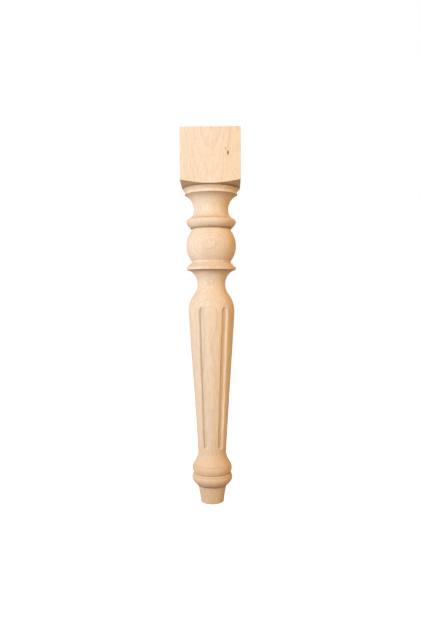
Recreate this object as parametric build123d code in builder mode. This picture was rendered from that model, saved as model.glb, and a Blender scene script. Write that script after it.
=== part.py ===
from build123d import *
from math import hypot, sqrt
import os

# A wooden table leg, turned from one square blank and then fluted. Sizes are in
# millimetres. The leg stands on its foot, whose flat end is at height zero.

# Square block at the head
leg_height = 720
block_side = 114
block_corner_radius = 1.0
block_length = 105.8  # to the foot of the shoulder, just inside the faces

# Shoulder, the turned underside of the block
shoulder_rise = 7.3  # from its foot out past the block's corners
shoulder_overcut = 2.0  # how far the cut runs out past the corners
shoulder_foot_radius = 56.4

# Throat, a V cut between the shoulder and the band
throat_radius = 53.0
throat_drop = 2.3
throat_spread = 1.1

# Band under the throat, slightly hollow, which ends in a thin lip
band_radius = 55.4
band_height = 5.8
band_hollow = 0.35
waist_radius = 50.9
waist_height = 2.2
lip_radius = 51.6
lip_spread_height = 1.2
lip_edge_height = 1.4

# Deep cove under the lip
cove_radius = 33.5
cove_upper_height = 28.7
cove_lower_height = 17.7
cove_foot_radius = 42.0

# Ring bead with its nose high up
bead_radius = 48.5
bead_upper_height = 6.2
bead_crown = 1.3  # bulge of its upper side
bead_lower_height = 13.6
bead_foot_radius = 39.8
bead_pull = 5.5  # straightness of its underside at the nose
bead_run = 4.4  # and where it ends, at 45 degrees

# Ball between two plain fillets
ball_radius = 48.6
ball_fillet_radius = 38.4
upper_fillet_height = 3.5
lower_fillet_height = 4.3

# Collar that flares out under the ball, with an upright rim and a sloping underside
collar_top_radius = 39.6
collar_slope_radius = 47.4
collar_slope_height = 8.0
collar_radius = 48.0
collar_rim_height = 5.1
collar_under_radius = 40.6
collar_under_height = 2.6

# Slender neck, which opens in two tangent arcs into the swelling of the shaft
neck_radius = 27.0
neck_upper_height = 25.5
neck_lower_height = 18.0
swell_foot_radius = 33.0  # where the two arcs meet
swell_height = 39.6

# Tapered shaft
shaft_top_radius = 44.8
shaft_foot_radius = 27.3

# Bell and barrel at the foot of the shaft
bell_height = 23.8
bell_pull = 7.0
bell_radius = 36.9
bell_lip_run = 4.4  # outward run and drop of the bell's last stretch
bell_lip_drop = 6.8
barrel_radius = 38.3
barrel_height = 15.1
barrel_foot_radius = 36.4

# Quirk, a narrow groove that parts the barrel from the foot bead
quirk_width = 2.8
quirk_depth = 1.6

# Foot bead with a sloping top
foot_bead_top_radius = 36.6
foot_bead_slope_height = 2.6
foot_bead_slope_radius = 38.5
foot_bead_line = 0.8  # fine step that marks off the slope
foot_bead_radius = 39.3
foot_bead_upper_height = 4.9
foot_bead_lower_height = 15.0
foot_bead_foot_radius = 29.6
foot_bead_pull = 5.8
foot_bead_run = 5.0

# Foot
foot_height = 33.8
foot_top_radius = 28.2
foot_end_radius = 22.4
foot_hollow = 0.9
foot_edge_radius = 2.5

# Flutes, cut along the shaft by one round cutter that rises a little on its way down
flute_count = 6
flute_turn = 7.0  # degrees, from the middle of a block face
flute_top_rise = 1.8  # from the top of the shaft to the flute's full width
flute_foot_rise = 14.0  # from the foot of the shaft to its full width
flute_cut_radius = 7.1
flute_top_offset = 2.7  # of the cutter's axis outside the shaft, at the flute's head
flute_foot_offset = 4.3  # and at its foot
flute_top_run_out = 19.5

# Blank, left long at the foot and turned off
blank_allowance = 5.0

# Heights of the turned features, worked down from the head
shoulder_foot = leg_height - block_length
throat_bottom = shoulder_foot - throat_drop
band_top = throat_bottom - throat_spread
band_foot = band_top - band_height
waist_foot = band_foot - waist_height
lip_top = waist_foot - lip_spread_height
lip_foot = lip_top - lip_edge_height
cove_middle = lip_foot - cove_upper_height
cove_foot = cove_middle - cove_lower_height
bead_nose = cove_foot - bead_upper_height
bead_foot = bead_nose - bead_lower_height
ball_top = bead_foot - upper_fillet_height
ball_half_height = sqrt(ball_radius**2 - ball_fillet_radius**2)
ball_middle = ball_top - ball_half_height
ball_foot = ball_middle - ball_half_height
collar_top = ball_foot - lower_fillet_height
collar_slope_foot = collar_top - collar_slope_height
collar_rim_foot = collar_slope_foot - collar_rim_height
collar_foot = collar_rim_foot - collar_under_height
neck_middle = collar_foot - neck_upper_height
neck_foot = neck_middle - neck_lower_height
shaft_top = neck_foot - swell_height

# Heights worked up from the foot, so that the shaft takes the length between
foot_bead_nose = foot_height + foot_bead_lower_height
foot_bead_slope_foot = foot_bead_nose + foot_bead_upper_height
foot_bead_top = foot_bead_slope_foot + foot_bead_slope_height
quirk_middle = foot_bead_top + quirk_width / 2
barrel_foot = foot_bead_top + quirk_width
bell_foot = barrel_foot + barrel_height
shaft_foot = bell_foot + bell_height

# The shaft's slope, the shoulder's reach and the bottom of the quirk
shaft_slope = (shaft_top_radius - shaft_foot_radius) / (shaft_top - shaft_foot)
shoulder_reach = hypot(block_side, block_side) / 2 + shoulder_overcut
quirk_radius = barrel_foot_radius - quirk_depth

# Cutter for one flute: a rod with a long point above and a round nose below
shaft_side = Plane(
    origin=(shaft_foot_radius, 0, shaft_foot),
    x_dir=(shaft_slope, 0, 1),
    z_dir=(0, 1, 0),
)
side_length = hypot(shaft_top - shaft_foot, shaft_top_radius - shaft_foot_radius)
cutter_foot = shaft_side.from_local_coords((flute_foot_rise, flute_foot_offset))
cutter_head = shaft_side.from_local_coords((side_length + flute_top_rise, flute_top_offset))
cutter_line = Plane(origin=cutter_foot, x_dir=cutter_head - cutter_foot, z_dir=(0, 1, 0))
cutter_length = (cutter_head - cutter_foot).length

with BuildPart() as flute_cutter:
    with BuildSketch(cutter_line):
        with BuildLine():
            rod = Line((0, -flute_cut_radius), (cutter_length, -flute_cut_radius))
            point = TangentArc(rod @ 1, (cutter_length + flute_top_run_out, 0), tangent=(1, 0))
            nose = TangentArc(rod @ 0, (-flute_cut_radius, 0), tangent=(-1, 0))
            Line(point @ 1, nose @ 1)
        make_face()
    revolve(axis=Axis(cutter_line.origin, cutter_line.x_dir))

with BuildPart() as turned_leg:
    # Square blank with its long corners eased
    with BuildSketch(Plane.XY.offset(-blank_allowance)):
        RectangleRounded(block_side, block_side, block_corner_radius)
    extrude(amount=leg_height + blank_allowance)

    # Everything turned on the lathe, as one profile from the head to the foot
    with BuildSketch(Plane.XZ):
        with BuildLine():
            head = Polyline(
                (0, leg_height + blank_allowance),
                (shoulder_reach, leg_height + blank_allowance),
                (shoulder_reach, shoulder_foot + shoulder_rise),
                (shoulder_foot_radius, shoulder_foot),
                (throat_radius, throat_bottom),
                (band_radius, band_top),
            )
            band = SagittaArc(head @ 1, (waist_radius, band_foot), -band_hollow)
            lip = Polyline(
                band @ 1,
                (waist_radius, waist_foot),
                (lip_radius, lip_top),
                (lip_radius, lip_foot),
            )
            cove_upper = TangentArc((cove_radius, cove_middle), lip @ 1, tangent=(0, 1))
            cove_lower = TangentArc(cove_upper @ 0, (cove_foot_radius, cove_foot), tangent=(0, -1))
            bead_upper = SagittaArc(cove_lower @ 1, (bead_radius, bead_nose), bead_crown)
            bead_lower = Bezier(
                bead_upper @ 1,
                (bead_radius, bead_nose - bead_pull),
                (bead_foot_radius + bead_run, bead_foot + bead_run),
                (bead_foot_radius, bead_foot),
            )
            upper_fillet = Polyline(
                bead_lower @ 1,
                (ball_fillet_radius, bead_foot),
                (ball_fillet_radius, ball_top),
            )
            ball = ThreePointArc(
                upper_fillet @ 1,
                (ball_radius, ball_middle),
                (ball_fillet_radius, ball_foot),
            )
            lower_fillet = Polyline(
                ball @ 1,
                (ball_fillet_radius, collar_top),
                (collar_top_radius, collar_top),
            )
            collar = Polyline(
                lower_fillet @ 1,
                (collar_slope_radius, collar_slope_foot),
                (collar_radius, collar_slope_foot),
                (collar_radius, collar_rim_foot),
                (collar_under_radius, collar_foot),
            )
            neck_upper = TangentArc((neck_radius, neck_middle), collar @ 1, tangent=(0, 1))
            neck_lower = TangentArc(neck_upper @ 0, (swell_foot_radius, neck_foot), tangent=(0, -1))
            swelling = TangentArc(neck_lower @ 1, (shaft_top_radius, shaft_top), tangent=neck_lower % 1)
            shaft = Line(swelling @ 1, (shaft_foot_radius, shaft_foot))
            bell = Bezier(
                shaft @ 1,
                (shaft_foot_radius - shaft_slope * bell_pull, shaft_foot - bell_pull),
                (bell_radius - bell_lip_run, bell_foot + bell_lip_drop),
                (bell_radius, bell_foot),
            )
            barrel = ThreePointArc(
                bell @ 1,
                (barrel_radius, (bell_foot + barrel_foot) / 2),
                (barrel_foot_radius, barrel_foot),
            )
            quirk = Polyline(
                barrel @ 1,
                (quirk_radius, quirk_middle),
                (foot_bead_top_radius, foot_bead_top),
                (foot_bead_slope_radius, foot_bead_slope_foot),
                (foot_bead_slope_radius - foot_bead_line, foot_bead_slope_foot),
            )
            foot_bead_upper = TangentArc(
                (foot_bead_radius, foot_bead_nose),
                quirk @ 1,
                tangent=(0, 1),
            )
            foot_bead_lower = Bezier(
                foot_bead_upper @ 0,
                (foot_bead_radius, foot_bead_nose - foot_bead_pull),
                (foot_bead_foot_radius + foot_bead_run, foot_height + foot_bead_run),
                (foot_bead_foot_radius, foot_height),
            )
            foot_step = Line(foot_bead_lower @ 1, (foot_top_radius, foot_height))
            foot_side = SagittaArc(foot_step @ 1, (foot_end_radius, 0), -foot_hollow)
            Polyline(foot_side @ 1, (0, 0), head @ 0)
        profile = make_face()
        foot_corner = profile.vertices().sort_by_distance((foot_end_radius, 0))[0]
        fillet(foot_corner, foot_edge_radius)
    revolve(axis=Axis.Z, mode=Mode.INTERSECT)

    # Six flutes, evenly round the shaft
    with PolarLocations(0, flute_count, start_angle=flute_turn):
        add(flute_cutter.part, mode=Mode.SUBTRACT)

turned_leg.part.label = "turned_leg"

os.makedirs("parts", exist_ok=True)
export_step(turned_leg.part, "parts/turned_leg.step")
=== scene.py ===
import cmath
import math

import bpy
import numpy as np
from mathutils import Matrix, Vector


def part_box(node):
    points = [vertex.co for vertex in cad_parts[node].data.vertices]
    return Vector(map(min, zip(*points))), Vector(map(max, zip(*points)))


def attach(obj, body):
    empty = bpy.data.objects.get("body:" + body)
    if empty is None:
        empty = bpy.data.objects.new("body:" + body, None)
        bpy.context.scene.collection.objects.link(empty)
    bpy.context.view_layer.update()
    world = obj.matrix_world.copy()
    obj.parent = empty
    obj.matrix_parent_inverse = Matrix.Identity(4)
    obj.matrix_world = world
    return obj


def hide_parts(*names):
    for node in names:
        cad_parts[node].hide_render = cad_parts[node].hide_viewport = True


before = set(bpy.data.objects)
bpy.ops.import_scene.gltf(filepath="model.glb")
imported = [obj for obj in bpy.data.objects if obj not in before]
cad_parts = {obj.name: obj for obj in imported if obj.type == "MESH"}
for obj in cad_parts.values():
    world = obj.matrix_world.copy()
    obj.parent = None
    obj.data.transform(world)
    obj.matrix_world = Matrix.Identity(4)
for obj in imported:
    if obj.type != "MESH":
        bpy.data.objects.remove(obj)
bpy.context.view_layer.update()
metre = 0.001  # sizes below are in millimetres, Blender's are in metres


# Curves of the turned outline:
# a point of the outline is a complex number: distance from the axis + height * 1j

def bowedLine(start, end, bow, steps):
    # arc that stands out from the straight line by bow, or is hollow by it where negative
    chord = abs(end - start)
    outward = (end - start) / chord * 1j
    radius = (chord * chord / 4 + bow * bow) / (2 * bow)
    centre = (start + end) / 2 + outward * (bow - radius)
    half = math.copysign(math.atan2(chord / 2, abs(radius) - abs(bow)), bow)
    turns = [half * (1 - 2 * k / steps) for k in range(steps + 1)]
    return [centre + outward * radius * cmath.exp(1j * turn) for turn in turns]


def leavingArc(start, end, heading, steps):
    # arc that leaves start along heading
    reach = (end - start) / heading
    radius = abs(reach) ** 2 / (2 * reach.imag)
    turn = 2 * cmath.phase(reach)
    bends = [cmath.exp(1j * turn * k / steps) for k in range(steps + 1)]
    return [start + heading * 1j * radius * (1 - bend) for bend in bends]


def pulledCurve(start, startPull, endPull, end, steps):
    # leaves start towards startPull and arrives at end from endPull
    curve = []
    for k in range(steps + 1):
        t = k / steps
        u = 1 - t
        nearStart = u ** 3 * start + 3 * u * u * t * startPull
        curve.append(nearStart + 3 * u * t * t * endPull + t ** 3 * end)
    return curve


def easedCorners(line, outerEase, innerEase, sharpest, steps):
    # rounds each sharp corner of the outline, as sandpaper leaves it
    eased = [line[0]]
    for before, corner, after in zip(line, line[1:], line[2:]):
        arriving = (corner - before) / abs(corner - before)
        leaving = (after - corner) / abs(after - corner)
        turn = cmath.phase(leaving / arriving)
        if abs(turn) < sharpest:
            eased.append(corner)
            continue
        ease = innerEase if turn > 0 else outerEase
        # leaves room for the next corner
        longest = min(abs(corner - before), abs(after - corner)) * 0.4
        cut = min(ease * math.tan(abs(turn) / 2), longest)
        eased += leavingArc(corner - arriving * cut, corner + leaving * cut, arriving, steps)
    eased.append(line[-1])
    return eased


def joined(*runs):
    # one line from several, each point once
    line = list(runs[0])
    for run in runs[1:]:
        line += [point for point in run if abs(point - line[-1]) > 1e-6]
    return line


# The leg
legLow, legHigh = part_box("turned_leg")
leg = {
    "height": (legHigh.z - legLow.z) / metre,
    "blockSide": (legHigh.x - legLow.x) / metre,
    "blockLength": 105.8,
    "blockCorner": 1.0,
    "topEase": 0.35,  # roundness of the sawn edges round the top
    "arrisEase": 0.45,  # roundness of the edge between block and shoulder
    "outerEase": 0.35,  # roundness of the turned edges
    "innerEase": 0.2,  # and of the inner corners between them
    "sharpTurn": 16.0,  # degrees, blunter corners are left as they are
    "shoulderRise": 7.3, "shoulderOvercut": 2.0, "shoulderFoot": 56.4,
    "throatRadius": 52.2, "throatDrop": 2.3, "throatSpread": 1.1,
    "bandRadius": 55.4, "bandHeight": 5.8, "bandHollow": 0.35,
    "waistRadius": 50.9, "waistHeight": 2.2,
    "lipRadius": 51.6, "lipSpread": 1.2, "lipEdge": 1.4,
    "coveRadius": 33.5, "coveUpper": 28.7, "coveLower": 17.7, "coveFoot": 42.0,
    "beadRadius": 48.5, "beadUpper": 6.2, "beadCrown": 1.3, "beadLower": 13.6,
    "beadFoot": 39.8, "beadPull": 5.5, "beadRun": 4.4,
    "ballRadius": 48.6, "filletRadius": 38.4, "upperFillet": 3.5, "lowerFillet": 4.3,
    "collarTop": 39.6, "collarSlope": 47.4, "collarSlopeHeight": 8.0,
    "collarRadius": 48.0, "collarRim": 5.1, "collarUnder": 40.6, "collarUnderHeight": 2.6,
    "neckRadius": 27.0, "neckUpper": 25.5, "neckLower": 18.0,
    "swellFoot": 33.0, "swellHeight": 39.6,
    "shaftTop": 44.8, "shaftFoot": 27.3,
    "bellHeight": 23.8, "bellPull": 7.0, "bellRadius": 36.9,
    "bellLipRun": 4.4, "bellLipDrop": 6.8,
    "bellLine": 0.4,  # depth of the fine line under the bell's edge
    "barrelRadius": 38.3, "barrelHeight": 15.1, "barrelFoot": 36.4,
    "quirkWidth": 2.8, "quirkDepth": 1.6,
    "footBeadTop": 36.6, "footBeadSlope": 38.5, "footBeadSlopeHeight": 2.6,
    "footBeadLine": 1.2,  # step that marks off the foot bead's sloping top
    "footBeadRadius": 39.3, "footBeadUpper": 4.9, "footBeadLower": 15.0, "footBeadFoot": 29.6,
    "footBeadPull": 5.8, "footBeadRun": 5.0,
    "footHeight": 33.8, "footTop": 28.2, "footEnd": 22.4, "footHollow": 0.9,
    "footEdge": 2.5,  # roundness of the foot's lower edge
    "fluteCount": 6, "fluteTurn": 7.0,
    "fluteTopRise": 1.8, "fluteFootRise": 14.0,  # from the shaft's ends to the flute's full width
    "fluteCut": 7.1,  # radius of the cutter
    "fluteTopOffset": 2.7, "fluteFootOffset": 4.3,  # of the cutter's axis outside the shaft
    "fluteTopRunOut": 19.5,  # length of the flute's point
    "fluteEase": 0.25,  # softness of the flutes' edges
    # shape across a flute: 2 for a round side, more for a steep side and a flat floor
    "fluteLeftShape": 5.5, "fluteRightShape": 2.2,
    "fluteFullness": 0.5,  # 1 for sloping walls, 0.5 for upright ones
    "fluteWall": 2.2,  # how fast the cut runs out past the flute's edge
    "fluteShadeAcross": (0.62, 0.88),  # where the painted shade of the left wall sets in, from a flute's middle to its edge
    "fluteShadeDepth": 1.5,  # depth of flute at which its painted wall shade is at its darkest
    "scribeDepth": 1.0, "scribeWidth": 1.8,  # of the fine lines under ring bead and foot bead
    # columns of the mesh, which gather at the flutes and spread between them
    "cornerColumns": 4, "fluteColumns": 18, "landColumns": 11,
    "landCrowding": 1.8,
    "tipHalfWidth": 2.6,  # degrees taken by a flute's columns past its tips
    "gatherAbove": (58.0, 16.0), "gatherBelow": (-22.0, 5.0),  # from the shaft's top and its foot
}

# heights worked down from the head
shoulderFoot = leg["height"] - leg["blockLength"]
throatBottom = shoulderFoot - leg["throatDrop"]
bandTop = throatBottom - leg["throatSpread"]
bandFoot = bandTop - leg["bandHeight"]
waistFoot = bandFoot - leg["waistHeight"]
lipTop = waistFoot - leg["lipSpread"]
lipFoot = lipTop - leg["lipEdge"]
coveMiddle = lipFoot - leg["coveUpper"]
coveFoot = coveMiddle - leg["coveLower"]
beadNose = coveFoot - leg["beadUpper"]
beadFoot = beadNose - leg["beadLower"]
ballTop = beadFoot - leg["upperFillet"]
ballHalf = math.sqrt(leg["ballRadius"] ** 2 - leg["filletRadius"] ** 2)
ballMiddle = ballTop - ballHalf
ballFoot = ballMiddle - ballHalf
collarTop = ballFoot - leg["lowerFillet"]
collarEdge = collarTop - leg["collarSlopeHeight"]
collarRimFoot = collarEdge - leg["collarRim"]
collarFoot = collarRimFoot - leg["collarUnderHeight"]
neckMiddle = collarFoot - leg["neckUpper"]
neckFoot = neckMiddle - leg["neckLower"]
shaftTop = neckFoot - leg["swellHeight"]

# and up from the foot
footBeadNose = leg["footHeight"] + leg["footBeadLower"]
footBeadLine = footBeadNose + leg["footBeadUpper"]
footBeadTop = footBeadLine + leg["footBeadSlopeHeight"]
barrelFoot = footBeadTop + leg["quirkWidth"]
bellFoot = barrelFoot + leg["barrelHeight"]
shaftFoot = bellFoot + leg["bellHeight"]
shaftSlope = (leg["shaftTop"] - leg["shaftFoot"]) / (shaftTop - shaftFoot)
shoulderReach = math.hypot(leg["blockSide"], leg["blockSide"]) / 2 + leg["shoulderOvercut"]


def point(radius, height):
    # of the outline
    return radius + 1j * height


def steppedHeights(*stops):
    # heights from the first stop down, each stop giving a height and how many steps lead there
    heights = [stops[0][0]]
    for (upper, _), (lower, steps) in zip(stops, stops[1:]):
        heights += list(np.linspace(upper, lower, steps + 1)[1:])
    return heights


def atHeights(curve, heights):
    # the same curve with its points at these heights
    levels = np.array([p.imag for p in curve])[::-1]
    radii = np.array([p.real for p in curve])[::-1]
    return [point(float(np.interp(height, levels, radii)), height) for height in heights]


def scribedLine(radius, height):
    # narrow groove that the tool leaves in an inner corner, from the corner down
    deep = radius - leg["scribeDepth"]
    wide = leg["scribeWidth"]
    return [point(deep, height), point(deep, height - wide * 0.6), point(radius, height - wide)]


def turnedOutline():
    # from the foot of the shoulder down to the middle of the foot's end
    throat = [
        point(leg["shoulderFoot"], shoulderFoot),
        point(leg["throatRadius"], throatBottom),
        point(leg["bandRadius"], bandTop),
    ]
    band = bowedLine(throat[-1], point(leg["waistRadius"], bandFoot), -leg["bandHollow"], 6)
    lip = [
        band[-1],
        point(leg["waistRadius"], waistFoot),
        point(leg["lipRadius"], lipTop),
        point(leg["lipRadius"], lipFoot),
    ]
    coveMid = point(leg["coveRadius"], coveMiddle)
    coveUpper = leavingArc(coveMid, lip[-1], 1j, 20)[::-1]
    coveLower = leavingArc(coveMid, point(leg["coveFoot"], coveFoot), -1j, 12)
    nose = point(leg["beadRadius"], beadNose)
    beadUpper = bowedLine(coveLower[-1], nose, leg["beadCrown"], 7)
    beadEnd = point(leg["beadFoot"], beadFoot)
    beadPull = nose - 1j * leg["beadPull"]
    beadLower = pulledCurve(nose, beadPull, beadEnd + leg["beadRun"] * (1 + 1j), beadEnd, 14)
    upperScribe = scribedLine(leg["filletRadius"], beadFoot)
    upperFillet = joined([beadEnd], upperScribe, [point(leg["filletRadius"], ballTop)])
    reach = math.asin(ballHalf / leg["ballRadius"])
    ballTurns = [1j * reach * (1 - 2 * k / 32) for k in range(33)]
    ball = [1j * ballMiddle + leg["ballRadius"] * cmath.exp(turn) for turn in ballTurns]
    filletFoot = point(leg["filletRadius"], collarTop)
    lowerFillet = [ball[-1], filletFoot, point(leg["collarTop"], collarTop)]
    collar = [
        lowerFillet[-1],
        point(leg["collarSlope"], collarEdge),
        point(leg["collarRadius"], collarEdge),
        point(leg["collarRadius"], collarRimFoot),
        point(leg["collarUnder"], collarFoot),
    ]
    neckMid = point(leg["neckRadius"], neckMiddle)
    neckUpper = leavingArc(neckMid, collar[-1], 1j, 20)[::-1]
    swellStart = point(leg["swellFoot"], neckFoot)
    shaftStart = point(leg["shaftTop"], shaftTop)
    neckLower = leavingArc(neckMid, swellStart, -1j, 60)
    # the second arc leaves along the first one's last direction, its first mirrored about the chord
    chord = swellStart - neckMid
    heading = (chord / abs(chord)) ** 2 / -1j
    swelling = joined(neckLower, leavingArc(swellStart, shaftStart, heading, 120))
    # rows stand closer where the flutes end
    swelling = atHeights(swelling, steppedHeights(
        (neckMiddle, 0), (shaftTop + 16, 18), (shaftTop + 9, 12), (shaftTop, 9)))
    shaftEnd = point(leg["shaftFoot"], shaftFoot)
    shaft = atHeights([shaftStart, shaftEnd], steppedHeights(
        (shaftTop, 0), (shaftTop - 5, 5), (shaftFoot + 17, 28), (shaftFoot + 6, 20),
        (shaftFoot, 3)))
    bellEnd = point(leg["bellRadius"], bellFoot)
    bellPull = shaftEnd - leg["bellPull"] * (shaftSlope + 1j)
    bellLip = bellEnd - leg["bellLipRun"] + 1j * leg["bellLipDrop"]
    bell = pulledCurve(shaftEnd, bellPull, bellLip, bellEnd, 14)
    barrelEnd = point(leg["barrelFoot"], barrelFoot)
    barrelBow = leg["barrelRadius"] - (leg["bellRadius"] + leg["barrelFoot"]) / 2
    barrel = bowedLine(bellEnd, barrelEnd, barrelBow, 16)
    barrel[1] -= leg["bellLine"]
    quirk = [
        barrelEnd,
        point(leg["barrelFoot"] - leg["quirkDepth"], footBeadTop + leg["quirkWidth"] / 2),
        point(leg["footBeadTop"], footBeadTop),
        point(leg["footBeadSlope"], footBeadLine),
        point(leg["footBeadSlope"] - leg["footBeadLine"], footBeadLine),
    ]
    footNose = point(leg["footBeadRadius"], footBeadNose)
    footBeadUpper = leavingArc(footNose, quirk[-1], 1j, 6)[::-1]
    footBeadEnd = point(leg["footBeadFoot"], leg["footHeight"])
    footBeadPull = footBeadEnd + leg["footBeadRun"] * (1 + 1j)
    footNosePull = footNose - 1j * leg["footBeadPull"]
    footBeadLower = pulledCurve(footNose, footNosePull, footBeadPull, footBeadEnd, 14)
    footStart = point(leg["footTop"], leg["footHeight"])
    footSide = bowedLine(footStart, point(leg["footEnd"], 0), -leg["footHollow"], 10)
    footLine = scribedLine(leg["footTop"], leg["footHeight"])
    # the foot's lower edge is rounded
    arriving = (footSide[-1] - footSide[-2]) / abs(footSide[-1] - footSide[-2])
    cut = leg["footEdge"] * math.tan(abs(cmath.phase(-1 / arriving)) / 2)
    footEdge = leavingArc(footSide[-1] - arriving * cut, footSide[-1] - cut, arriving, 7)
    end = [point(footEdge[-1].real * part, 0) for part in (0.66, 0.33, 0.1)]
    return joined(
        throat, band, lip, coveUpper, coveLower, beadUpper, beadLower, upperFillet, ball,
        lowerFillet, collar, neckUpper, swelling, shaft, bell, barrel, quirk,
        footBeadUpper, footBeadLower, footLine, footSide[1:-1], footEdge, end)


def squareRadius(angle, side, corner):
    # distance from the axis to the block's side in a direction, with the long edges rounded
    quarter = math.pi / 2
    fromFace = abs((angle + quarter / 2) % quarter - quarter / 2)
    flat = side / 2 / math.cos(fromFace)
    seat = (side / 2 - corner) * math.sqrt(2)
    across = seat * math.sin(quarter / 2 - fromFace)
    if across >= corner or flat * math.sin(fromFace) <= side / 2 - corner:
        return flat
    return seat * math.cos(quarter / 2 - fromFace) + math.sqrt(corner * corner - across * across)


def cutterAt(along, sideLength):
    # the fluting cutter's radius and its axis's distance outside the shaft,
    # at a place along the shaft's side measured up from the shaft's foot
    cut = leg["fluteCut"]
    footFull = leg["fluteFootRise"]
    topFull = sideLength + leg["fluteTopRise"]
    share = (along - footFull) / (topFull - footFull)
    offset = leg["fluteFootOffset"] + share * (leg["fluteTopOffset"] - leg["fluteFootOffset"])
    if along < footFull:
        # round nose
        away = min(footFull - along, cut)
        return math.sqrt(cut * cut - away * away), offset
    if along > topFull:
        # long point
        away = min(along - topFull, leg["fluteTopRunOut"])
        bow = (cut * cut + leg["fluteTopRunOut"] ** 2) / (2 * cut)
        return cut - bow + math.sqrt(bow * bow - away * away), offset
    return cut, offset


def blendedStep(low, high, value):
    # 0 at low and 1 at high, with soft ends
    share = min(max((value - low) / (high - low), 0.0), 1.0)
    return share * share * (3 - 2 * share)


def blockAngles(columns):
    # directions with lines close together at the block's four long edges
    perQuarter = columns // 4
    edgeReach = leg["blockCorner"] / (leg["blockSide"] / math.sqrt(2))
    edgeHalf = math.degrees(math.asin(edgeReach)) * 0.98  # just inside the rounded edge's ends
    edge = leg["cornerColumns"]
    side = perQuarter - edge
    roundEdge = list(np.linspace(-edgeHalf, edgeHalf, edge + 1))
    quarter = roundEdge + list(np.linspace(edgeHalf, 90 - edgeHalf, side + 1)[1:-1])
    firstEdge = 25  # column at which the first long edge stands, 45 degrees round
    angles = np.zeros(columns)
    for k in range(4):
        for j, turn in enumerate(quarter):
            column = (firstEdge - edge // 2 + j + k * perQuarter) % columns
            angles[column] = 45 + 90 * k + turn
    # columns before the first edge belong to the last quarter, a full turn back,
    # and the last columns go on past a full turn, as the flutes' columns do
    early = angles[:firstEdge]
    angles[:firstEdge] = np.where(early > 180, early - 360, early)
    return angles


def fluteAngles(halfWidth):
    # directions with lines along both edges of each flute
    half = leg["fluteColumns"] // 2
    inside = [halfWidth * math.sin(math.pi / 2 * j / half) for j in range(-half, half + 1)]
    sector = 360 / leg["fluteCount"]
    land = sector - 2 * halfWidth
    steps = 2 * leg["landColumns"]
    outside = []
    for j in range(1, steps):
        share = 2 * j / steps
        crowding = leg["landCrowding"]
        share = 0.5 * share ** crowding if share <= 1 else 1 - 0.5 * (2 - share) ** crowding
        outside.append(halfWidth + land * share)
    one = inside + outside
    # begin with the column in the middle of the first flute
    angles = []
    for k in range(leg["fluteCount"]):
        angles += [leg["fluteTurn"] + sector * k + turn for turn in one]
    angles = angles[half:] + [turn + 360 for turn in angles[:half]]
    return np.array(angles)


def fluteAt(radius, height):
    # radius of the cutter and distance of its axis from the leg's, at one level
    sideLength = math.hypot(shaftTop - shaftFoot, leg["shaftTop"] - leg["shaftFoot"])
    tiltLength = math.hypot(1, shaftSlope)
    above = height - shaftFoot
    beside = radius - leg["shaftFoot"] - above * shaftSlope
    cut, offset = cutterAt(above * tiltLength + beside * shaftSlope, sideLength)
    return cut, leg["shaftFoot"] + above * shaftSlope + offset * tiltLength


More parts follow.
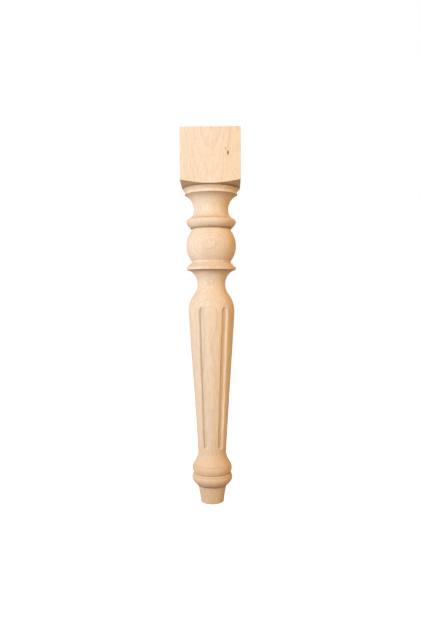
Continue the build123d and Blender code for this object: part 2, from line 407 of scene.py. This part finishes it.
def legMesh():
    perFlute = leg["fluteColumns"] + 2 * leg["landColumns"]
    columns = leg["fluteCount"] * perFlute
    sector = 360 / leg["fluteCount"]  # degrees
    uniform = sector / 2 * leg["fluteColumns"] / perFlute

    shoulderRadii = np.array([leg["shoulderFoot"], shoulderReach])
    shoulderHeights = np.array([shoulderFoot, shoulderFoot + leg["shoulderRise"]])
    shoulderSlope = math.atan2(leg["shoulderRise"], shoulderReach - leg["shoulderFoot"])

    sharpest = math.radians(leg["sharpTurn"])
    outline = easedCorners(turnedOutline(), leg["outerEase"], leg["innerEase"], sharpest, 3)
    shoulderEnd = outline[0].real

    # one row of points for each level, from the middle of the top to the middle of the foot
    blockTurns = blockAngles(columns)
    blockSize = (leg["blockSide"], leg["blockCorner"])
    sides = np.array([squareRadius(math.radians(turn), *blockSize) for turn in blockTurns])
    top = leg["height"]
    rows = []
    for share in (0.06, 0.5, 0.94):
        rows.append((sides * share, np.full(columns, top), blockTurns))
    ease = leg["topEase"]
    for k in range(4):
        turn = math.pi / 2 * k / 3
        level = top - ease * (1 - math.cos(turn))
        rows.append((sides - ease * (1 - math.sin(turn)), np.full(columns, level), blockTurns))
    arrisHeights = np.interp(sides, shoulderRadii, shoulderHeights)
    cuts = leg["arrisEase"] * math.tan((math.pi / 2 - shoulderSlope) / 2)
    for share in (0.25, 0.5, 0.75, 0.95):
        rows.append((sides, top - ease + share * (arrisHeights + cuts - top + ease), blockTurns))
    for k in range(4):
        swing = (math.pi / 2 - shoulderSlope) * k / 3
        rows.append((sides - leg["arrisEase"] * (1 - math.cos(swing)),
                     arrisHeights + cuts - leg["arrisEase"] * math.sin(swing), blockTurns))
    arrisEnds = sides - leg["arrisEase"] * (1 - math.sin(shoulderSlope))
    for share in (0.08, 0.2, 0.35, 0.5, 0.65, 0.8, 0.92):
        radii = arrisEnds + (shoulderEnd - arrisEnds) * share
        rows.append((radii, np.interp(radii, shoulderRadii, shoulderHeights), blockTurns))
    # painted shade: 1 along the steep left wall of each flute, where light from the left leaves it
    # dark
    paintedWallShade = np.zeros((len(rows) + len(outline), columns))
    above = [shaftTop + reach for reach in leg["gatherAbove"]]
    below = [shaftFoot + reach for reach in leg["gatherBelow"]]
    for place in outline:
        radius, height = place.real, place.imag
        cut, axis = fluteAt(radius, height)
        opening = 0.0
        if cut > abs(axis - radius):
            cosine = (radius * radius + axis * axis - cut * cut) / (2 * radius * axis)
            opening = math.degrees(math.acos(cosine))
        closeness = blendedStep(*above, height) * blendedStep(*below, height)
        halfWidth = max(opening, uniform + (leg["tipHalfWidth"] - uniform) * closeness)
        fluteTurns = fluteAngles(halfWidth)
        share = blendedStep(bandTop, collarFoot, height)
        turns = fluteTurns + (blockTurns - fluteTurns) * share
        radii = np.full(columns, radius)
        if opening > 0:
            # degrees from the middle of the nearest flute
            offsets = (turns - leg["fluteTurn"] + sector / 2) % sector - sector / 2
            left = offsets < 0
            shape = np.where(left, leg["fluteLeftShape"], leg["fluteRightShape"])
            offsets = np.radians(np.abs(offsets))
            inside = offsets < math.radians(opening)
            deepest = radius - (axis - cut)
            across = np.sin(offsets) / math.sin(math.radians(opening))
            # on the left the floor is flatter and the wall steeper than the cutter's own round
            depth = deepest * np.clip(1 - across ** shape, 0, None) ** leg["fluteFullness"]
            beyond = (offsets - math.radians(opening)) * radius
            depth = np.where(inside, depth, -beyond * leg["fluteWall"])
            soft = min(leg["fluteEase"], deepest * 0.6)
            atWall = np.array([blendedStep(*leg["fluteShadeAcross"], part) for part in across])
            darkness = min(deepest / leg["fluteShadeDepth"], 1)
            # painted shade on the left wall, darker in deeper flutes
            paintedWallShade[len(rows)] = np.where(left & inside, atWall, 0) * darkness
            radii = radius - (depth + np.sqrt(depth * depth + soft * soft)) / 2
        rows.append((radii, np.full(columns, height), turns))

    radii = np.array([row[0] for row in rows])
    heights = np.array([row[1] for row in rows])
    turns = np.radians(np.array([row[2] for row in rows]))
    body = np.stack([radii * np.cos(turns), radii * np.sin(turns), heights], axis=2).reshape(-1, 3)
    count = len(rows)
    points = np.vstack([body, [[0, 0, top], [0, 0, 0]]]) * metre
    faces = []
    for j in range(columns):
        after = (j + 1) % columns
        faces.append((count * columns, j, after))
        for i in range(count - 1):
            upper, lower = i * columns, (i + 1) * columns
            faces.append((upper + j, lower + j, lower + after, upper + after))
        low = (count - 1) * columns
        faces.append((count * columns + 1, low + after, low + j))
    print("leg rows", count, "columns", columns, "faces", len(faces))
    return points, faces, np.append(paintedWallShade.ravel(), [0, 0])


def areaNormals(points, faces):
    # each normal leans to the point's larger faces, which stay flat up to their eased edges
    normals = np.zeros_like(points)
    quads = np.array([face for face in faces if len(face) == 4])
    triangles = np.array([face for face in faces if len(face) == 3])
    for group, first, second in ((quads, (0, 2), (1, 3)), (triangles, (0, 1), (0, 2))):
        across = np.cross(points[group[:, first[1]]] - points[group[:, first[0]]],
                          points[group[:, second[1]]] - points[group[:, second[0]]])
        for k in range(group.shape[1]):
            np.add.at(normals, group[:, k], across)
    return normals / np.linalg.norm(normals, axis=1, keepdims=True)


def turnLeg():
    points, faces, paintedWallShade = legMesh()
    mesh = bpy.data.meshes.new("turnedLeg")
    mesh.from_pydata(points.tolist(), [], faces)
    mesh.polygons.foreach_set("use_smooth", [True] * len(mesh.polygons))
    mesh.normals_split_custom_set_from_vertices(areaNormals(points, faces).tolist())
    # the painted shade of the flutes' left walls goes to the material as a point attribute
    mesh.attributes.new("paintedWallShade", "FLOAT", "POINT").data.foreach_set("value", paintedWallShade)
    mesh.update()
    turned = bpy.data.objects.new("turnedLeg", mesh)
    bpy.context.scene.collection.objects.link(turned)
    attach(turned, "root")
    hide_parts("turned_leg")
    return turned


turnedLeg = turnLeg()
print("leg turned and fluted")


# Shader maths
class Wire:
    # a socket whose sums, differences, products and quotients add Math nodes
    def __init__(self, bench, socket):
        self.bench = bench
        self.socket = socket

    def math(self, operation, *values):
        inputs = {k: value for k, value in enumerate((self,) + values)}
        return self.bench.make("ShaderNodeMath", {"operation": operation}, inputs)

    def __add__(self, other):
        return self.math("ADD", other)

    def __radd__(self, other):
        return self.math("ADD", other)

    def __sub__(self, other):
        return self.math("SUBTRACT", other)

    def __rsub__(self, other):
        return self.bench.make("ShaderNodeMath", {"operation": "SUBTRACT"}, {0: other, 1: self})

    def __mul__(self, other):
        return self.math("MULTIPLY", other)

    def __rmul__(self, other):
        return self.math("MULTIPLY", other)

    def __truediv__(self, other):
        return self.math("DIVIDE", other)


class Bench:
    # a material's node tree and the one method that adds a node to it
    def __init__(self, name, tree=None):
        if tree is None:
            self.material = bpy.data.materials.new(name)
            self.material.use_nodes = True
            tree = self.material.node_tree
        self.tree = tree
        self.tree.nodes.clear()

    def make(self, kind, settings=None, inputs=None, output=0):
        node = self.tree.nodes.new(kind)
        for name, value in (settings or {}).items():
            setattr(node, name, value)
        for name, value in (inputs or {}).items():
            if isinstance(value, Wire):
                self.tree.links.new(value.socket, node.inputs[name])
            else:
                node.inputs[name].default_value = value
        if output is None:
            return node
        return Wire(self, node.outputs[output])

    def noise(self, vector, detail, roughness=0.5):
        inputs = {"Vector": vector, "Scale": 1.0, "Detail": detail, "Roughness": roughness}
        return self.make("ShaderNodeTexNoise", {"noise_dimensions": "3D"}, inputs, "Fac")

    def scaled(self, vector, scale):
        inputs = {0: vector, 1: scale}
        return self.make("ShaderNodeVectorMath", {"operation": "MULTIPLY"}, inputs, "Vector")

    def between(self, value, low, high):
        # 0 at low and 1 at high, with soft ends
        settings = {"interpolation_type": "SMOOTHSTEP"}
        inputs = {"Value": value, "From Min": low, "From Max": high}
        return self.make("ShaderNodeMapRange", settings, inputs, "Result")

    def mixed(self, factor, first, second):
        settings = {"data_type": "RGBA", "blend_type": "MIX"}
        return self.make("ShaderNodeMix", settings, {0: factor, 6: first, 7: second}, 2)


# The wood
wood = {
    "paleColour": (0.80, 0.61, 0.44, 1),
    "warmColour": (0.73, 0.51, 0.325, 1), "warmShare": 0.55,
    "lowColour": (0.66, 0.37, 0.14, 1), "lowShare": 0.42,
    "lowFrom": 160.0, "lowTo": 60.0,  # heights between which it turns browner towards the foot
    "yellowColour": (0.76, 0.55, 0.335, 1), "yellowShare": 0.35,
    "lineColour": (0.57, 0.36, 0.21, 1),
    "lateShare": 0.42, "fibreShare": 0.20, "fleckShare": 0.34,  # of the line colour
    "poreColour": (0.42, 0.25, 0.135, 1), "poreShare": 0.42,
    "endColour": (0.54, 0.31, 0.15, 1), "endShare": 0.6,
    "knotColour": (0.17, 0.075, 0.035, 1),
    # where the tree's heart stood, right of the axis and behind it
    "pithSide": 3.0, "pithBack": 62.0,
    # the heart leans, but for a stretch about the ball
    "pithLean": 0.012, "pithLeanBack": 0.075,
    "straightHeight": 500.0, "straightReach": 70.0,
    "ringWidth": 2.4,
    "slowWobble": 10.0, "fastWobble": 2.4, "unevenness": 2.5,
    # right of this the grain runs straight up and the wood is yellower
    "straightFrom": 31.0, "straightBlend": 5.0, "straightSlope": 1.6,
    "knotPlace": (33.2, -57.0, 670.5), "knotSize": 1.6,
    "knotPush": 3.2,  # how far it pushes the rings aside
    "companionShift": (-3.6, 8.2), "companionSize": (0.6, 1.9),
    "threadLean": 0.14,  # of the dark grain that leads down to the knot
    # fineness of each figure across the grain and along it, per millimetre
    "slowBend": (0.011, 0.0045), "fastBend": (0.055, 0.012),
    "patches": (0.045, 0.009), "strips": (0.16, 0.004),
    "fibres": (1.3, 0.045), "flecks": (0.42, 0.055), "pores": (1.9, 0.19),
    "sawMarks": (0.9, 0.02),
    "toolRings": 1.1,
    # colour of the painted shade in the inner corners and on the flutes' left walls
    "paintedShadeColour": (0.25, 0.13, 0.06, 1),
    "paintedFluteShade": 0.5,
    # height, reach and strength of the painted shade lines in the inner corners, where shade
    # gathers
    "paintedCornerShade": (
        (throatBottom + 1.2, 1.9, 0.5), (beadFoot + 0.8, 2.4, 0.5),
        (collarTop + 0.3, 0.7, 0.25), (collarRimFoot - 0.7, 1.0, 0.35),
        (bellFoot - 0.4, 0.6, 0.25), (footBeadTop + 1.4, 0.9, 0.3),
        (footBeadLine, 0.7, 0.3), (leg["footHeight"] + 1.4, 2.3, 0.5)),
    "fibreRelief": 0.30, "toolRelief": 0.30, "sawRelief": 0.4,
    "poreRelief": 0.8, "lateRelief": 0.10, "knotRelief": 0.8,
    "reliefStrength": 0.5, "reliefDepth": 0.00016,
    "roughness": 0.58, "fibreRoughness": 0.16, "poreRoughness": 0.12, "lateSheen": 0.07,
    "shine": 0.28,
}


def grain(bench, place, name, detail, roughness=0.5):
    # noise that is drawn out along the grain
    across, along = wood[name]
    return bench.noise(bench.scaled(place, (across, across, along)), detail, roughness)


def distance(first, second):
    return (first * first + second * second).math("SQRT")


def rawWood():
    bench = Bench("rawSandedWood")
    place = bench.make("ShaderNodeTexCoord", output="Object")
    place = bench.scaled(place, (1000, 1000, 1000))  # millimetres
    axes = bench.make("ShaderNodeSeparateXYZ", inputs={0: place}, output=None)
    x, y, z = (Wire(bench, socket) for socket in axes.outputs)
    outward = bench.make("ShaderNodeNewGeometry", output="Normal")
    facing = bench.make("ShaderNodeSeparateXYZ", inputs={0: outward}, output="Z")

    # the growth rings bend slowly along the tree and are pushed aside by the knot
    knotX, knotY, knotZ = wood["knotPlace"]
    besideKnot = (x - knotX) / wood["knotSize"]
    alongKnot = (z - knotZ) / (wood["knotSize"] * 2.6)
    knotReach = distance(besideKnot, alongKnot)
    front = bench.between(y, knotY + 30, knotY + 12)
    knotPush = (knotReach * knotReach * -0.02).math("EXPONENT") * front
    slowBend = grain(bench, place, "slowBend", 2.0, 0.45) - 0.5
    fastBend = grain(bench, place, "fastBend", 2.0) - 0.5
    aboveStraight = z - wood["straightHeight"]
    sideways = x - wood["pithSide"] + aboveStraight * wood["pithLean"]
    straightPart = (aboveStraight / wood["straightReach"]).math("TANH") * wood["straightReach"]
    leaning = (aboveStraight - straightPart) * wood["pithLeanBack"]
    fromPith = distance(sideways, y - wood["pithBack"] + leaning)
    ringPlace = fromPith + slowBend * wood["slowWobble"] + fastBend * wood["fastWobble"]
    ringPlace = ringPlace + knotPush * wood["knotPush"]
    straightTo = wood["straightFrom"] + wood["straightBlend"]
    straight = bench.between(x + fastBend * 3, wood["straightFrom"], straightTo)
    ringPlace = ringPlace + (x * wood["straightSlope"] - ringPlace) * straight
    # rings differ in width and in darkness
    ringSpace = bench.make("ShaderNodeCombineXYZ", inputs={0: ringPlace * 0.09})
    uneven = (bench.noise(ringSpace, 1.0) - 0.5) * wood["unevenness"]
    ringCount = ringPlace / wood["ringWidth"] + uneven
    ring = ringCount.math("FRACT")
    lateWood = bench.between(ring, 0.35, 0.9) - bench.between(ring, 0.9, 1.0)
    settings = {"noise_dimensions": "1D"}
    inputs = {"W": ringCount.math("FLOOR")}
    ringStrength = bench.make("ShaderNodeTexWhiteNoise", settings, inputs, "Value")
    lateWood = lateWood * (ringStrength * 0.75 + 0.25)

    # broad patches, fibres and pores run along the grain
    patches = grain(bench, place, "patches", 3.0)
    strips = grain(bench, place, "strips", 2.0)
    fibres = grain(bench, place, "fibres", 3.0, 0.6)
    flecks = bench.between(grain(bench, place, "flecks", 3.0, 0.65), 0.55, 0.30)
    pores = bench.between(grain(bench, place, "pores", 1.0), 0.62, 0.74)
    endGrain = bench.between(facing.math("ABSOLUTE"), 0.55, 0.97)

    warmth = bench.between(patches * 0.65 + strips * 0.35, 0.36, 0.66)
    lowness = bench.between(z, wood["lowFrom"], wood["lowTo"])
    fibreGaps = 1 - bench.between(fibres, 0.3, 0.72)
    colour = bench.mixed(warmth * wood["warmShare"], wood["paleColour"], wood["warmColour"])
    colour = bench.mixed(lowness * wood["lowShare"], colour, wood["lowColour"])
    colour = bench.mixed(straight * wood["yellowShare"], colour, wood["yellowColour"])
    colour = bench.mixed(lateWood * wood["lateShare"], colour, wood["lineColour"])
    colour = bench.mixed(fibreGaps * wood["fibreShare"], colour, wood["lineColour"])
    colour = bench.mixed(flecks * wood["fleckShare"], colour, wood["lineColour"])
    colour = bench.mixed(pores * wood["poreShare"], colour, wood["poreColour"])
    colour = bench.mixed(endGrain * wood["endShare"], colour, wood["endColour"])
    # painted shade: darker bands at the inner corners, where shade falls
    for height, reach, strength in wood["paintedCornerShade"]:
        line = bench.between((z - height).math("ABSOLUTE"), reach, reach * 0.4)
        colour = bench.mixed(line * strength, colour, wood["paintedShadeColour"])
    # painted shade along the flutes' left walls, read from the mesh
    fluteWallShade = bench.make("ShaderNodeAttribute", {"attribute_name": "paintedWallShade"}, output="Fac")
    colour = bench.mixed(fluteWallShade * wood["paintedFluteShade"], colour, wood["paintedShadeColour"])

    # the knot, its small companion and the dark thread of grain that leads down to them
    shiftX, shiftZ = wood["companionShift"]
    wide, tall = wood["companionSize"]
    companionX = (x - (knotX + shiftX)) / (wood["knotSize"] * wide)
    companionZ = (z - (knotZ + shiftZ)) / (wood["knotSize"] * tall)
    companion = bench.between(distance(companionX, companionZ), 1.3, 0.7)
    threadLine = x - (knotX + 0.6) - (z - knotZ - 9) * wood["threadLean"] - fastBend * 4
    thread = bench.between(threadLine.math("ABSOLUTE"), 1.2, 0.3)
    thread = thread * bench.between(z, knotZ + 3, knotZ + 12)
    knot = bench.between(knotReach, 1.15, 0.75)
    halo = bench.between(knotReach, 4.2, 1.0)
    colour = bench.mixed(thread * front * 0.7, colour, wood["lineColour"])
    colour = bench.mixed(halo * front * 0.30, colour, wood["lineColour"])
    colour = bench.mixed(companion * front * 0.8, colour, wood["poreColour"])
    colour = bench.mixed(knot * front, colour, wood["knotColour"])

    # tool rings on what was turned, saw marks on the end grain, raised fibres and open pores
    toolSpace = {0: distance(x, y) * wood["toolRings"], 2: z * wood["toolRings"]}
    toolSpace = bench.make("ShaderNodeCombineXYZ", inputs=toolSpace)
    toolRings = bench.noise(toolSpace, 2.0, 0.6) * bench.between(z, 614, 611)
    sawMarks = grain(bench, place, "sawMarks", 1.0) * bench.between(z, 719, 720)
    relief = fibres * wood["fibreRelief"] + toolRings * wood["toolRelief"]
    relief = relief + sawMarks * wood["sawRelief"] - pores * wood["poreRelief"]
    relief = relief + lateWood * wood["lateRelief"] - knot * front * wood["knotRelief"]
    bumps = {"Strength": wood["reliefStrength"], "Distance": wood["reliefDepth"], "Height": relief}
    bump = bench.make("ShaderNodeBump", inputs=bumps, output="Normal")
    roughness = wood["roughness"] + fibres * wood["fibreRoughness"]
    roughness = roughness + pores * wood["poreRoughness"] - lateWood * wood["lateSheen"]

    surface = {
        "Base Color": colour, "Roughness": roughness, "Normal": bump,
        "Specular IOR Level": wood["shine"],
    }
    principled = bench.make("ShaderNodeBsdfPrincipled", inputs=surface)
    bench.make("ShaderNodeOutputMaterial", inputs={"Surface": principled}, output=None)
    return bench.material


turnedLeg.data.materials.append(rawWood())
print("wood grained")


# Floor, light and camera
studio = {
    "floorSize": 6.0,
    "floorGrey": 0.36,
    # what the camera sees on top of the lit floor, near the leg and away from it
    "floorNear": (0.86, 0.86, 0.86, 1), "floorFar": (1, 1, 1, 1),
    "floorNearReach": 0.12, "floorFarReach": 0.75,
    "ambientColour": (1.0, 0.44, 0.13, 1), "ambientStrength": 0.35,
    "aim": (0, 0, 0.42),
    "photoWidth": 421, "photoHeight": 631,
    "focalPixels": 620.0,
    "horizonRow": 299.0, "axisColumn": 211.5,
    "cameraDistance": 1.218, "cameraHeight": 0.3966,
    "cameraBearing": -88.6,  # degrees round from +X
    "cameraRoll": -0.27,
}
lamps = {
    "keyLamp": {
        "place": (-1.05, -1.65, 1.05), "size": 0.33, "power": 34.5, "colour": (0.45, 0.68, 1.0)},
    "frontLamp": {
        "place": (-0.20, -1.90, 0.98), "size": 1.2, "power": 19.2, "colour": (0.93, 0.95, 0.72)},
    "fillLamp": {
        "place": (1.20, -0.65, 1.05), "size": 0.9, "power": 7.5, "colour": (1.0, 0.72, 0.30)},
    "rimLamp": {
        "place": (-1.5, 0.20, 0.5), "size": 0.8, "power": 8.5, "colour": (1.0, 1.0, 1.0)},
    "backLamp": {
        "place": (0.15, 1.80, 1.10), "size": 1.0, "power": 17.0, "colour": (1.0, 0.92, 0.74)},
}


def seenRays(bench):
    # 1 for what the camera sees straight on, mirrored or through glass
    rays = bench.make("ShaderNodeLightPath", output=None)
    names = ("Is Camera Ray", "Is Glossy Ray", "Is Transmission Ray")
    direct, mirrored, through = (Wire(bench, rays.outputs[name]) for name in names)
    return direct.math("MAXIMUM", mirrored).math("MAXIMUM", through)


def layFloor():
    half = studio["floorSize"] / 2
    mesh = bpy.data.meshes.new("floor")
    corners = [(-half, -half, 0), (half, -half, 0), (half, half, 0), (-half, half, 0)]
    mesh.from_pydata(corners, [], [(0, 1, 2, 3)])
    floor = bpy.data.objects.new("floor", mesh)
    bpy.context.scene.collection.objects.link(floor)
    bench = Bench("paleFloor")
    grey = studio["floorGrey"]
    diffuse = bench.make("ShaderNodeBsdfDiffuse", inputs={"Color": (grey, grey, grey, 1)})
    # the floor brightens to white away from the leg, so that no horizon shows
    place = bench.make("ShaderNodeTexCoord", output="Object")
    away = bench.make("ShaderNodeVectorMath", {"operation": "LENGTH"}, {0: place}, "Value")
    far = bench.between(away, studio["floorNearReach"], studio["floorFarReach"])
    seenColour = bench.mixed(far, studio["floorNear"], studio["floorFar"])
    glow = bench.make("ShaderNodeEmission", inputs={"Color": seenColour})
    both = bench.make("ShaderNodeAddShader", inputs={0: diffuse, 1: glow})
    chosen = bench.make("ShaderNodeMixShader", inputs={0: seenRays(bench), 1: diffuse, 2: both})
    bench.make("ShaderNodeOutputMaterial", inputs={"Surface": chosen}, output=None)
    floor.data.materials.append(bench.material)


def lightWorld():
    world = bpy.data.worlds.new("studio")
    bpy.context.scene.world = world
    world.use_nodes = True
    bench = Bench("studio", world.node_tree)
    dim = {"Color": studio["ambientColour"], "Strength": studio["ambientStrength"]}
    ambient = bench.make("ShaderNodeBackground", inputs=dim)
    white = bench.make("ShaderNodeBackground", inputs={"Color": (1, 1, 1, 1), "Strength": 1.0})
    chosen = bench.make("ShaderNodeMixShader", inputs={0: seenRays(bench), 1: ambient, 2: white})
    bench.make("ShaderNodeOutputWorld", inputs={"Surface": chosen}, output=None)


def hangLamp(name, values):
    light = bpy.data.lights.new(name, "AREA")
    light.shape = "DISK"
    light.size = values["size"]
    light.energy = values["power"]
    light.color = values["colour"]
    lamp = bpy.data.objects.new(name, light)
    lamp.location = values["place"]
    towards = Vector(studio["aim"]) - Vector(values["place"])
    lamp.rotation_euler = towards.to_track_quat("-Z", "Y").to_euler()
    bpy.context.scene.collection.objects.link(lamp)


def placeCamera():
    data = bpy.data.cameras.new("photoCamera")
    data.lens = studio["focalPixels"] * data.sensor_width / studio["photoHeight"]
    # the shift keeps upright edges upright and sets eye level at its row of the photo
    data.shift_y = (studio["horizonRow"] - studio["photoHeight"] / 2) / studio["photoHeight"]
    data.clip_start = 0.05
    bearing = math.radians(studio["cameraBearing"])
    ahead = Vector((-math.cos(bearing), -math.sin(bearing), 0))
    right = ahead.cross(Vector((0, 0, 1)))
    columns = studio["axisColumn"] - studio["photoWidth"] / 2
    aside = columns / studio["focalPixels"] * studio["cameraDistance"]
    camera = bpy.data.objects.new("photoCamera", data)
    place = -ahead * studio["cameraDistance"] - right * aside
    place.z = studio["cameraHeight"]
    roll = Matrix.Rotation(math.radians(studio["cameraRoll"]), 3, "Z")
    turn = ahead.to_track_quat("-Z", "Y").to_matrix() @ roll
    camera.matrix_world = Matrix.LocRotScale(place, turn.to_quaternion(), None)
    bpy.context.scene.collection.objects.link(camera)
    bpy.context.scene.camera = camera


layFloor()
lightWorld()
for name, values in lamps.items():
    hangLamp(name, values)
placeCamera()
bpy.context.scene.view_settings.view_transform = "Standard"
print("studio lit")
